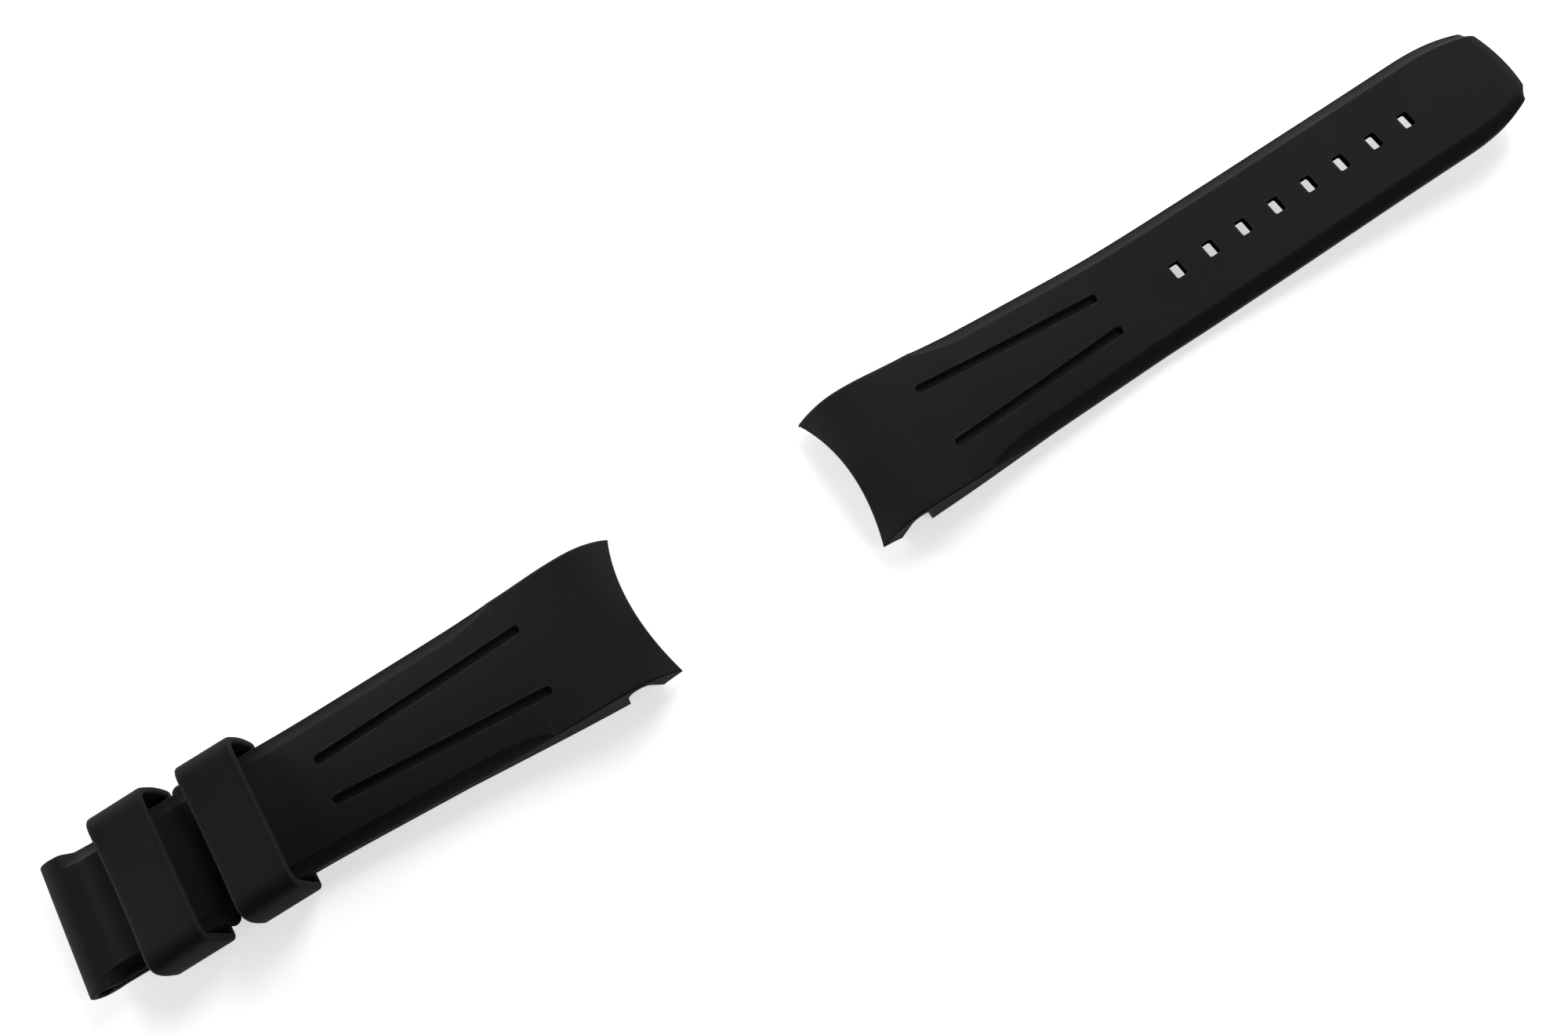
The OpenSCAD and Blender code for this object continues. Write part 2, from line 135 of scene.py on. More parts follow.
GAP_Z = TONGUE_Z + TONGUE_T
STEP_Z = GAP_Z + TONGUE_GAP
STRIP_END = LOOP_S - LOOP_OUT - VALLEY_LEN

# Tables of (distance s, value): half widths, heights of the top and thicknesses, H for the
# hole half and B for the buckle half
WIDTH_H = ((0, 11.0), (8, 10.95), (16.8, 10.71), (48.7, 9.48), (92.7, 9.18), (200, 9.18))
WIDTH_B = ((0, 11.0), (8, 10.95), (16.8, 10.71), (48.7, 9.57), (80, 9.25), (200, 9.25))
TOP_H = (
    (0, 6.03), (6.7, 6.03), (15.7, 4.95), (28.7, 3.85), (48, 2.95), (57, 2.95),
    (70.7, 3.65), (92.7, 5.05), (TAIL_S, 6.45),
)
TOP_B = ((0, 6.03), (6.7, 6.03), (15.7, 5.5), (28.7, 5.1), (48.7, 4.85), (66, 4.9), (200, 4.9))
THICK_H = ((BLOCK_LEN, 5.7), (30, 3.05), (TAIL_S, 3.0))
THICK_B_S = 32
THICK_B = ((BLOCK_LEN, 5.85), (THICK_B_S, 3.55), (200, 3.55))
# A table is read at these distances from s, and the mean is taken
SOFT_STEPS = (-3, -1, 1, 3)

# Sizes that only the looks have, or that they set otherwise than the source: lengths in
# millimetres, and a few shares
SKIN = 0.012  # the strips' faces lie this far inside the solids
FOLD_PROUD = 0.004  # the fold's faces stand this far over the strip's
TIP_LEN = 3
STEP_BACK = 0.5
TOP_EDGE_R = 0.1
COVE_EDGE_R = 0.22
LOW_EDGE_R = 0.15
MOST_OF_SIDE = 0.45
TIP_ROUND = 0.2
TAIL_ROUND = 0.35
FOLD_ROUND = 0.25
FOLD_ROUND_SHARE = 0.7
COVER_S = 76.6
COVER_SINK = 0.5
COVER_FADE = 1.5
VALLEY_FROM = 79.5
VALLEY_D = 0.15
CREST_S = 83.8
CREST_Z = 5.05
TONGUE_HALF = 9.23
FOLD_WIDENS = 2.2
BEVEL_END_B = 83.0
BEVEL_LEAST_Z = LOOP_Z + 0.9
STOP_R = 1.0
STOP_HALF = 10.45
STOP_H = 1.9
STOP_FOOT = STEP_Z + 0.02
# Bounds of the painted shade on the walls of the adjusting holes: past their sides, under the
# channel's roof and under the top face
HOLE_SHADE_SIDE = 0.04
HOLE_SHADE_BELOW = 0.1
HOLE_SHADE_ABOVE = 0.05
TUBE_RIM = 0.06
KEEPER_RB = 0.8
KEEPER_FLARE = 0.35
KEEPER_EDGE = 0.5
KEEPER_TOP_IN = 0.45
KEEPER_FOOT_IN = 0.25
BELLY_Z = 3.6
BELLY_R = 3.4
CORNER_REACH = 1.25
OVER = 1  # how far a cutter reaches past the rubber

# Crown of the top face: its height, where it starts, its rise, where it ends and its fade
CROWN_H = (0.4, 9, 8, 52, 18)
CROWN_B = (0.65, 9, 10, COVER_S, 6)

# Where on a keeper's height its top drops and its ends flare, as parts of that height
DROP_FROM = 0.55
DROP_RUN = 0.3
FLARE_TO = 0.95
FLARE_RUN = 0.5
# The share of the sag that a keeper's edge away from the fold has
SAG_SHARE = 0.4

# Keepers: piece, node, front edge, shift to the side, skew in degrees, lean, dip and sag
KEEPERS = (
    ("fold_keeper_rubber", "fold_keeper", 68.3, 0.08, 1.5, 0.45, 0.5, 0.6),
    ("sliding_keeper_rubber", "sliding_keeper", 55.7, 0.0, 1.4, 0.2, 0.3, 0.38),
)

# Levels of a cutter or stop: height over the face or end it follows, and growth outward
GROOVE_LEVELS = (
    (-GROOVE_D, -0.14), (-GROOVE_D + 0.04, -0.04), (-GROOVE_D + 0.14, 0.0),
    (-0.1, 0.0), (-0.03, 0.03), (0.0, 0.1), (0.35, 0.45),
)
HOLE_LEVELS = (
    (-WEB_T - 0.4, 0.4), (-WEB_T, 0.05), (-WEB_T + 0.1, 0.0),
    (-0.1, 0.0), (-0.03, 0.02), (0.0, 0.05), (0.4, 0.4),
)
STOP_FOOT_LEVELS = ((0, -0.3), (0.06, -0.12), (0.25, 0.0))
STOP_HEAD_LEVELS = ((-0.5, 0.0), (-0.2, -0.08), (-0.05, -0.25), (0, -0.5))
# The same for the channel, after whether the height counts from its roof or the underside
CHANNEL_LEVELS = (
    (False, -0.4, 0.4), (False, 0.0, 0.08), (False, 0.1, 0.0),
    (True, -0.15, 0.0), (True, 0.0, -0.15),
)

# Turns in degrees from which an edge is shown sharp
SHARP_STRAP = 32
SHARP_KEEPER = 50
SHARP_TUBE = 30

# Numbers of points and steps in the meshes
ACROSS = 44
TOP_EDGE_STEPS = 2
CORNER_STEPS = 4
SIDE_STEPS = 4
COVE_STEPS = 7
ROUND_STEPS = 4
GROOVE_TURN = 14
HOLE_TURN = 6
CHANNEL_STEPS = 60
BAR_STEPS = 24
BORE_STEPS = 48
STOP_STEPS = 48
TUBE_STEPS = 64
KEEPER_FLAT_STEPS = 24
KEEPER_WALL_STEPS = 4
KEEPER_FACE_STEPS = 10

# Rings of the strap's mesh: the even ones, how far they keep from a feature, and the
# extra ones there and at the ends
RING_FIRST = 0.4
RING_STEP = 0.45
RING_LAST = 1.2
LEAST_S = 0.3
LEAST_LEFT = 0.95
CLEAR_OF_BLOCK = 0.4
CLEAR_OF_TONGUE = 0.3
BLOCK_RINGS = (-0.3, 0.0, 0.08, 0.4)
BEVEL_RINGS = (0.0, 0.05, 0.15, 0.3)
TONGUE_RINGS = (-0.7, -0.52, -0.45, -0.2)
END_RINGS_H = (LIP_LEN, 0.6)
END_RINGS_B = (0.5, 0.0)

# Rows of the fold's mesh from its side inward: parts of the bevel's width, then distances
# past it, and the spacing of points along its top
FOLD_BEVEL_ROWS = (0.3, 0.45, 0.6, 0.8, 1.0)
FOLD_TOP_ROWS = (0.25, 1.5, 3.0, 5.0)
COVER_STEP = 0.2

# Rubber: level of its black, roughness and grain for each kind, then values of its nodes
STRAP_LOOK = (0.012, 0.72, 0.3)
KEEPER_LOOK = (0.0095, 0.74, 0.2)
GLOSS = 0.083
# Painted shade: the colour to which the walls of the adjusting holes are darkened
HOLE_SHADE_COLOUR = 0.001
BLUE_SHARE = 1.03
FADED_SHARE = 3
PATCH_NOISE = (90, 4, 0.55)
GRAIN_NOISE = (2600, 5, 0.65)
SPECK_NOISE = (1500, 2, 0.5)
DUST_RAMP = (0.66, 0.8, 0.0, 0.35)
PATCH_RANGE = (0.35, 0.68)
PATCH_SPREAD = 0.04
GRAIN_DEPTH = 0.00003

# Wear of crisp edges: its strength, and the turns at which it starts and is full
WEAR = 0.6
WEAR_FROM = math.radians(14)
WEAR_FULL = math.radians(40)

# Steel of the tubes
STEEL_COLOUR = (0.55, 0.56, 0.58, 1)
STEEL_ROUGHNESS = (0.24, 0.42)
RINGS_STRETCH = (1, 14, 1)
RINGS_SCALE = 900
RINGS_DETAIL = 3
RINGS_BUMP = 0.25
RINGS_DEPTH = 0.00002

# Lamps: name, direction they stand in, height over the table in degrees, brightness of the face
SOFTBOXES = (
    ("far_right_low", 45, 14, 6.2),
    ("far_low", 90, 14, 5.1),
    ("far_left_low", 135, 14, 9.8),
    ("left_low", 180, 4, 10.0),
    ("far_right_high", 45, 38, 7.8),
    ("near_right_high", -45, 38, 2.6),
)
LAMP_DISTANCE = 0.75
LAMP_SIZE = 0.34
LAMP_AIM = Vector((0.02, 0, 0))
SURROUND = 0.01
FLOOR_HALF = 3.0
FLOOR_COLOUR = (0.82, 0.82, 0.82, 1)
FLOOR_LIFT = 0.62

# Camera, from the fit of both halves to the photograph
CAMERA_AT = Vector((6.73, -60.39, 185.25)) * MM
CAMERA_RIGHT = Vector((0.8606, -0.5052, -0.0639))
CAMERA_DOWN = Vector((-0.4969, -0.8055, -0.3229))
FOCAL_PIXELS = 1800
IMAGE_WIDTH = 2000
SENSOR = 36.0
CLIP_START = 0.005
CLIP_END = 20


def unit(value):
    """The value, kept between 0 and 1."""
    return max(0.0, min(1.0, value))


def smooth(value):
    """A soft step from 0 to 1 as the value goes from 0 to 1."""
    t = unit(value)
    return t * t * (3 - 2 * t)


def lookup(s, table):
    """The table's value at s, straight between its rows."""
    if s <= table[0][0]:
        return table[0][1]
    for (s0, v0), (s1, v1) in zip(table, table[1:]):
        if s <= s1:
            return v0 + (v1 - v0) * (s - s0) / (s1 - s0)
    return table[-1][1]


def soft(s, table):
    """The table's value round s, which rounds off its corners."""
    return sum(lookup(s + step, table) for step in SOFT_STEPS) / len(SOFT_STEPS)


def tail_part(s):
    """How far s has come along the tail, from 0 to 1."""
    return unit((s - TAIL_FROM) / (TAIL_S - TAIL_FROM))


def arc(y):
    """How far the concave end lies behind the tip corners."""
    y = min(abs(y), LUG_HALF)
    return math.sqrt(END_R**2 - y * y) - math.sqrt(END_R**2 - LUG_HALF**2)


def share(y):
    """From 0 in the middle to 1 at the tips."""
    return (y / LUG_HALF) ** 2


class Half:
    """Outline and heights of one half, by the distance s behind its tips."""

    def __init__(self, hole_half):
        self.hole_half = hole_half
        self.end = TAIL_S if hole_half else STRIP_END

    def half_width(self, s):
        """Half the width of the strap."""
        table = WIDTH_H if self.hole_half else WIDTH_B
        if s >= TIP_LEN:
            width = soft(s, table)
        else:
            width = LUG_HALF + (soft(TIP_LEN, table) - LUG_HALF) * s / TIP_LEN
        if self.hole_half:
            width -= (WIDTH_H[-1][1] - TAIL_HALF) * tail_part(s) ** TAIL_POWER
        return width

    def top(self, s):
        """Height of the top in the middle; the buckle half sinks where the fold covers it."""
        if self.hole_half:
            return soft(s, TOP_H)
        return soft(s, TOP_B) - COVER_SINK * smooth((s - COVER_S) / COVER_FADE)

    def under(self, s):
        """Height of the underside."""
        if s <= BLOCK_LEN:
            return NOSE_H * unit(1 - s / NOSE_LEN)
        if self.hole_half:
            return max(0.0, self.top(s) - lookup(s, THICK_H))
        if s < TONGUE_S - STEP_BACK:
            least = 0.0 if s < THICK_B_S else TONGUE_Z
            return max(least, soft(s, TOP_B) - lookup(s, THICK_B))
        return STEP_Z

    def bevel(self, s):
        """How full the side bevel is, from 0 to 1."""
        start = math.sqrt(unit((s - BEVEL_FROM) / BEVEL_RUN))
        if self.hole_half:
            return start * (1 - (1 - BEVEL_TAIL) * tail_part(s))
        return start

    def bulge(self, s, y):
        """How far the tail's rounded end stands out."""
        if not self.hole_half:
            return 0.0
        near_end = unit((s - TAIL_S + BULGE_LEN) / BULGE_LEN)
        return TAIL_BULGE * near_end * (1 - min(1.0, (y / TAIL_HALF) ** 2))

    def lip(self, s):
        """How far the tail's edge comes down at its end."""
        return LIP_D * unit((s - TAIL_S + LIP_LEN) / LIP_LEN) if self.hole_half else 0.0

    def point(self, s, y, z, topness):
        """Bends a section point back to the end arc and down to the rolled edge."""
        over = arc(y) * unit(1 - s / ARC_FADE)
        more_back = (UNDER_BACK - UNDER_BACK_MID) * share(y)
        below = (arc(y) + UNDER_BACK_MID + more_back) * unit(1 - s / LOW_FADE)
        roll = unit(1 - s / ROLL_LEN) ** 3 * (ROLL_MID + (ROLL_EDGE - ROLL_MID) * share(y))
        x = s + over * topness + below * (1 - topness) + self.bulge(s, y)
        return Vector((x, y, z - roll * topness))


def bent(corner, before, after, radius, steps):
    """A corner of a section, rounded: points on a curve from one side to the other."""
    back, on = before - corner, after - corner
    start = corner + back.normalized() * min(radius, back.length * MOST_OF_SIDE)
    end = corner + on.normalized() * min(radius, on.length * MOST_OF_SIDE)
    points = []
    for i in range(steps + 1):
        t = i / steps
        points.append(start * (1 - t) ** 2 + corner * (2 * t * (1 - t)) + end * t * t)
    return points


def section(half, s, inset):
    """One closed ring of (y, z, topness), the same number of points at every s."""
    inset += SKIN
    k = half.bevel(s)
    bw = EDGE + (BEVEL_W - EDGE) * k
    bd = EDGE + (BEVEL_D - EDGE) * k
    hw = half.half_width(s) - inset
    lip = half.lip(s)
    zt = half.top(s) - lip - inset
    zb = half.under(s) + lip / 2 + inset
    height, first, rise, last, fade = CROWN_H if half.hole_half else CROWN_B
    crown = height * smooth((s - first) / rise) * smooth((last - s) / fade)
    edge_top = zt - crown
    cove = []
    for i in range(COVE_STEPS + 1):
        u = i / COVE_STEPS
        cove.append(Vector((hw - bw * (1 - u), edge_top - (bd - crown * k) * (1 - (1 - u) ** 2))))
    low = Vector((hw, zb + EDGE))
    line = [Vector((0, edge_top)), *cove, low, Vector((hw - EDGE, zb)), Vector((0, zb))]
    top_edge = bent(line[1], line[0], line[2], TOP_EDGE_R, TOP_EDGE_STEPS)
    cove_edge = bent(line[-4], line[-5], line[-3], COVE_EDGE_R, CORNER_STEPS)
    side = [(p.x, p.y, 1.0) for p in [*top_edge, *cove[1:-1], *cove_edge]]
    for corner in (-3, -2):
        run = bent(line[corner], line[corner - 1], line[corner + 1], LOW_EDGE_R, CORNER_STEPS)
        y0, z0, w0 = side[-1]
        for j in range(1, SIDE_STEPS):
            u = j / SIDE_STEPS
            side.append((y0 + (run[0].x - y0) * u, z0 + (run[0].y - z0) * u, w0 * (1 - u)))
        side += [(p.x, p.y, 0.0) for p in run]
    y_top, y_low = side[0][0], side[-1][0]
    ring = []
    for i in range(1, ACROSS):
        y = y_top * (2 * i / ACROSS - 1)
        ring.append((y, zt - crown * (y / y_top) ** 2, 1.0))
    ring += side
    ring += [(y_low * (1 - 2 * i / ACROSS), zb, 0.0) for i in range(1, ACROSS)]
    ring += [(-y, z, w) for y, z, w in reversed(side)]
    return ring


def build(name, points, faces):
    """A new mesh object in the scene, from its points and faces."""
    mesh = bpy.data.meshes.new(name)
    mesh.from_pydata([tuple(p) for p in points], [], faces)
    mesh.update()
    obj = bpy.data.objects.new(name, mesh)
    bpy.context.scene.collection.objects.link(obj)
    tidy_normals(obj)
    return obj


def tidy_normals(obj):
    """Joins points that coincide and turns all faces outward."""
    bm = bmesh.new()
    bm.from_mesh(obj.data)
    bmesh.ops.remove_doubles(bm, verts=bm.verts, dist=1e-5)
    bmesh.ops.recalc_face_normals(bm, faces=bm.faces)
    bm.to_mesh(obj.data)
    bm.free()


def tube_faces(count, size, closed=False):
    """Quads between count rings of size points each."""
    faces = []
    for i in range(count if closed else count - 1):
        a, b = i * size, (i + 1) % count * size
        for j in range(size):
            k = (j + 1) % size
            faces.append((a + j, a + k, b + k, b + j))
    return faces


def ladder(start, size, first, second):
    """Quads across a ring of size points, from its points first and second on to the far side."""
    faces = []
    for i in range(size // 2 - (0 if first == second else 1)):
        a, b = (first + i) % size, (second - i) % size
        c, d = (first + i + 1) % size, (second - i - 1) % size
        faces.append(tuple(start + n for n in dict.fromkeys((a, c, d, b))))
    return faces


def end_steps(radius):
    """Distances from a rounded end, dense where it curves, with the inset at each."""
    steps = []
    for i in range(ROUND_STEPS + 1):
        angle = math.pi / 2 * i / ROUND_STEPS
        steps.append((radius * (1 - math.cos(angle)), radius * (1 - math.sin(angle))))
    return steps


def body_mesh(half, name):
    """The strip of one half from its tips to its tail or to its fold."""
    count = int((half.end - RING_LAST) / RING_STEP)
    plain = [RING_FIRST + RING_STEP * i for i in range(count)]
    plain = [s for s in plain if abs(s - BLOCK_LEN - 0.1) > CLEAR_OF_BLOCK]
    plain += [BLOCK_LEN + step for step in BLOCK_RINGS]
    plain += [BEVEL_FROM + step for step in BEVEL_RINGS]
    if not half.hole_half:
        plain = [s for s in plain if abs(s - TONGUE_S + STEP_BACK) > CLEAR_OF_TONGUE]
        plain += [TONGUE_S + step for step in TONGUE_RINGS]
    rings = end_steps(TIP_ROUND)
    rings += [(s, 0.0) for s in sorted(plain) if LEAST_S < s < half.end - LEAST_LEFT]
    if half.hole_half:
        rings += [(half.end - d, 0.0) for d in END_RINGS_H]
        rings += [(half.end - d, inset) for d, inset in reversed(end_steps(TAIL_ROUND))]
    else:
        rings += [(half.end - d, 0.0) for d in END_RINGS_B]
    points = []
    for s, inset in rings:
        ring = section(half, s, inset)
        points += [half.point(s, y, z, w) for y, z, w in ring]
    size = len(ring)
    faces = tube_faces(len(rings), size)
    side = (size - 2 * (ACROSS - 1)) // 2
    for start in (0, (len(rings) - 1) * size):
        faces += cap(start, size, side)
    return build(name, points, faces)


def cap(start, size, side):
    """Closes a section ring: quads from the top points to those below, then at both sides."""
    n = ACROSS - 1
    top = list(range(n))
    low = list(range(n + side, 2 * n + side))
    right = list(range(n, n + side))
    left = list(range(2 * n + side, size))
    faces = []
    for i in range(n - 1):
        faces.append((top[i], top[i + 1], low[n - 2 - i], low[n - 1 - i]))
    ring_right = [top[-1], *right, low[0]]
    ring_left = [low[-1], *left, top[0]]
    for ring in (ring_right, ring_left):
        while len(ring) > 3:
            faces.append((ring[0], ring[1], ring[-2], ring[-1]))
            ring = ring[1:-1]
        if len(ring) == 3:
            faces.append(tuple(ring))
    return [tuple(start + i for i in face) for face in faces]


def stadium(length, radius, straight=60, turn=GROOVE_TURN):
    """Points round a slot from (0, 0) to (length, 0), starting above its first end."""
    points = []
    for i in range(turn + 1):
        angle = math.pi / 2 + math.pi * i / turn
        points.append((radius * math.cos(angle), radius * math.sin(angle)))
    for i in range(1, straight):
        points.append((length * i / straight, -radius))
    for i in range(turn + 1):
        angle = -math.pi / 2 + math.pi * i / turn
        points.append((length + radius * math.cos(angle), radius * math.sin(angle)))
    for i in range(1, straight):
        points.append((length * (1 - i / straight), radius))
    return points


def rounded_box(long, wide, radius, turn=HOLE_TURN):
    """Points round a box about (0, 0) with rounded corners."""
    points = []
    for cx, cy, begin in ((1, 1, 0), (-1, 1, 90), (-1, -1, 180), (1, -1, 270)):
        for i in range(turn + 1):
            angle = math.radians(begin + 90 * i / turn)
            x = cx * (long / 2 - radius) + radius * math.cos(angle)
            y = cy * (wide / 2 - radius) + radius * math.sin(angle)
            points.append((x, y))
    return points


def stack(name, loops, first, second):
    """A closed shape from loops of equal size, with caps that run as in ladder."""
    size = len(loops[0])
    points = [p for loop in loops for p in loop]
    faces = tube_faces(len(loops), size)
    for start in (0, (len(loops) - 1) * size):
        faces += ladder(start, size, first, second)
    return build(name, points, faces)


def groove_cutter(half, side):
    """Follows the top face, with a flare that leaves a soft edge."""
    s1, s2 = GROOVE_FROM, GROOVE_TO_H if half.hole_half else GROOVE_TO_B
    y1, y2 = GROOVE_Y
    length = math.hypot(s2 - s1, y2 - y1)
    ds, dy = (s2 - s1) / length, (y2 - y1) / length
    r = GROOVE_W / 2
    loops = []
    for height, grow in GROOVE_LEVELS:
        loop = []
        for u, v in stadium(length, r + grow):
            s = s1 + ds * u - dy * v
            y = y1 + dy * u + ds * v
            loop.append(Vector((s, side * y, half.top(s) + height)))
        loops.append(loop)
    return stack("groove", loops, GROOVE_TURN // 2, GROOVE_TURN // 2)


def hole_cutter(half, number):
    """One hole, with a small flare at the channel under it and at the top face."""
    centre = HOLE_S + number * HOLE_PITCH
    loops = []
    for height, grow in HOLE_LEVELS:
        loop = []
        for x, y in rounded_box(HOLE_LEN + 2 * grow, HOLE_WIDE + 2 * grow, HOLE_CORNER + grow):
            s = centre + x
            loop.append(Vector((s, y, half.top(s) + height)))
        loops.append(loop)
    return stack("hole", loops, HOLE_TURN // 2, HOLE_TURN // 2)


def channel_cutter(half):
    """The channel in the underside, which thins the rubber at the holes, with soft edges."""
    first = HOLE_S - CHANNEL_REACH
    last = HOLE_S + (HOLES - 1) * HOLE_PITCH + CHANNEL_REACH
    steps = CHANNEL_STEPS
    loops = []
    for roof, height, grow in CHANNEL_LEVELS:
        wide = CHANNEL_W / 2 + grow
        run = [first - grow + (last - first + 2 * grow) * i / steps for i in range(steps + 1)]
        loop = []
        for s, y in [(s, wide) for s in reversed(run)] + [(s, -wide) for s in run]:
            base = half.top(s) - WEB_T if roof else half.under(s)
            loop.append(Vector((s, y, base + height)))
        loops.append(loop)
    return stack("channel", loops, steps + 1, steps)


def across_cutter(name, outline, y0, y1):
    """A prism across the strap from a side view outline of (s, z)."""
    loops = [[Vector((s, y, z)) for s, z in outline] for y in (y0, y1)]
    size = len(outline)
    points = [p for loop in loops for p in loop]
    faces = tube_faces(2, size)
    triangles = tessellate_polygon([[Vector((s, z, 0)) for s, z in outline]])
    for start in (0, size):
        faces += [tuple(start + i for i in triangle) for triangle in triangles]
    return build(name, points, faces)


def circle(s, z, radius, begin=0.0, turn=360.0, steps=64):
    """Points round (s, z), from the angle begin on through turn, both in degrees."""
    points = []
    for i in range(steps + (0 if turn == 360 else 1)):
        angle = math.radians(begin + turn * i / steps)
        points.append((s + radius * math.cos(angle), z + radius * math.sin(angle)))
    return points


def notch_outline():
    """Side notch: a round roof over an opening to the underside."""
    middle = BAR_BACK + NOTCH_BACK
    roof = []
    for degrees in range(150, 5, -5):
        angle = math.radians(degrees)
        roof.append((middle + NOTCH_R * math.cos(angle), BAR_H + NOTCH_R * math.sin(angle)))
    front = BAR_BACK - NOTCH_FRONT
    lean = (roof[0][0] - front) / roof[0][1]
    return [(front - lean, -OVER), *roof, (BAR_BACK + NOTCH_REAR, -OVER)]


def fold_top(s):
    """Height of the fold's top, which lies over the strip and rises to its crest."""
    flat = TOP_B[-1][1] - SKIN + FOLD_PROUD
    if s < STRIP_END:
        return flat - VALLEY_D * smooth((s - VALLEY_FROM) / (STRIP_END - VALLEY_FROM))
    rise = smooth((s - STRIP_END) / (CREST_S - STRIP_END))
    return flat - VALLEY_D + (CREST_Z - flat + VALLEY_D) * rise


def fold_outline():
    """Side view of the fold, from the tongue round the clasp bar, over the strip and back."""
    outer = [(TONGUE_S + 0.15, TONGUE_Z), (LOOP_S - 6, TONGUE_Z), (LOOP_S - 4, TONGUE_Z)]
    outer += [(LOOP_S - 3, TONGUE_Z - 0.01), (LOOP_S - 2, TONGUE_Z - 0.05)]
    outer += [(LOOP_S - 1, TONGUE_Z - 0.12)]
    outer += circle(LOOP_S, LOOP_Z, LOOP_OUT, -90, 90, BAR_STEPS)
    # over the bar the rubber rises to a crest nearer the strip than the bar
    for i in range(1, BAR_STEPS + 1):
        angle = math.radians(90 * i / BAR_STEPS)
        reach = LOOP_S + LOOP_OUT - CREST_S
        rise = (CREST_Z - LOOP_Z) * math.sin(angle)
        outer.append((CREST_S + reach * math.cos(angle), LOOP_Z + rise))
    count = round((CREST_S - COVER_S) / COVER_STEP)
    for i in range(1, count + 1):
        s = CREST_S - (CREST_S - COVER_S) * i / count
        outer.append((s, fold_top(s)))
    # the far end of the cover dips into the strip under the fold keeper
    outer += [(COVER_S - 0.3, fold_top(COVER_S) - 0.02), (COVER_S - 0.5, fold_top(COVER_S) - 0.4)]
    outer += [(COVER_S - 0.5, STEP_Z + 0.02), (STRIP_END - 0.1, STEP_Z + 0.02)]
    outer += [(STRIP_END + 0.05, STEP_Z)]
    # the drop shaped bore of the clasp bar, open to the slit over the tongue
    inner = [(LOOP_S - 2.9, STEP_Z), (LOOP_S - 2.0, STEP_Z + 0.22), (LOOP_S - 0.82, LOOP_Z + 0.57)]
    inner += circle(LOOP_S, LOOP_Z, LOOP_IN, 145, -290, BORE_STEPS)[1:-1]
    inner += [(LOOP_S - 0.86, GAP_Z + 0.12), (LOOP_S - 1.1, GAP_Z), (LOOP_S - 2.9, GAP_Z)]
    inner += [(TONGUE_S + 0.15, GAP_Z), (TONGUE_S, GAP_Z - 0.15), (TONGUE_S, TONGUE_Z + 0.15)]
    return outer + inner


def fold_mesh():
    """The fold as a prism with soft side edges, a little wider round the bar."""
    outline = fold_outline()
    size = len(outline)
    inward = []
    for i in range(size):
        (s0, z0), (s1, z1) = outline[i - 1], outline[(i + 1) % size]
        along = Vector((s1 - s0, z1 - z0))
        along.normalize()
        inward.append((-along.y, along.x))
    steps = end_steps(FOLD_ROUND) + [(BEVEL_W * u, 0.0) for u in FOLD_BEVEL_ROWS]
    steps += [(BEVEL_W + d, 0.0) for d in FOLD_TOP_ROWS]
    rows = [(-1, d, inset) for d, inset in steps]
    rows += [(1, d, inset) for d, inset in reversed(steps)]
    points = []
    for side, d, inset in rows:
        for (s, z), (ns, nz) in zip(outline, inward):
            if z < STEP_Z + 0.01:
                start = TONGUE_HALF
            else:
                start = soft(s, WIDTH_B) - SKIN + FOLD_PROUD
            round_bar = smooth((s - STRIP_END + VALLEY_LEN) / FOLD_WIDENS)
            wide = start + (FOLD_HALF - start) * round_bar
            # the strap's side bevel runs on over the cover and fades before the crest
            left = 0.0
            if z > BEVEL_LEAST_Z:
                left = smooth((BEVEL_END_B - s) / (BEVEL_END_B - STRIP_END))
            drop = left * BEVEL_D * (1 - min(1.0, d / BEVEL_W) ** 2)
            x = s + ns * inset * FOLD_ROUND_SHARE
            height = z + nz * inset * FOLD_ROUND_SHARE - drop
            points.append(Vector((x, side * (wide - d), height)))
    faces = tube_faces(len(rows), size)
    for row in (0, len(rows) - 1):
        start = row * size
        flat = [[Vector((points[start + i].x, points[start + i].z, 0)) for i in range(size)]]
        faces += [tuple(start + i for i in triangle) for triangle in tessellate_polygon(flat)]
    return build("fold", points, faces)


def stop_mesh(side):
    """A small rounded stop on the edge of the strap between the keepers."""
    y = side * (STOP_HALF - STOP_R)
    head = TONGUE_Z + STOP_H
    loops = []
    for base, levels in ((STOP_FOOT, STOP_FOOT_LEVELS), (head, STOP_HEAD_LEVELS)):
        for height, grow in levels:
            rim = circle(STOP_S, y, STOP_R + grow, steps=STOP_STEPS)
            loops.append([Vector((a, b, base + height)) for a, b in rim])
    return stack("stop", loops, 0, 0)


def combine(target, others, operation):
    """Joins or cuts with each of the others, which are used up."""
    for other in others:
        modifier = target.modifiers.new("cut", "BOOLEAN")
        modifier.operation = operation
        modifier.solver = "EXACT"
        modifier.object = other
        bpy.context.view_layer.objects.active = target
        bpy.context.view_layer.update()
        evaluated = target.evaluated_get(bpy.context.evaluated_depsgraph_get())
        mesh = bpy.data.meshes.new_from_object(evaluated)
        target.modifiers.clear()
        old = target.data
        target.data = mesh
        bpy.data.meshes.remove(old)
        bpy.data.objects.remove(other)


def cut_watch_end(obj):
    """Cuts the two side notches and the bore of the bar tube."""
    cutters = []
    for side in (-1, 1):
        inner, outer = side * (LUG_HALF - NOTCH_D), side * (LUG_HALF + 2 * OVER)
        cutters.append(across_cutter("notch", notch_outline(), inner, outer))
    combine(obj, cutters, "DIFFERENCE")
    reach = LUG_HALF + OVER
    bore = across_cutter("bore", circle(BAR_BACK, BAR_H, TUBE_OUT), -reach, reach)
    combine(obj, [bore], "DIFFERENCE")


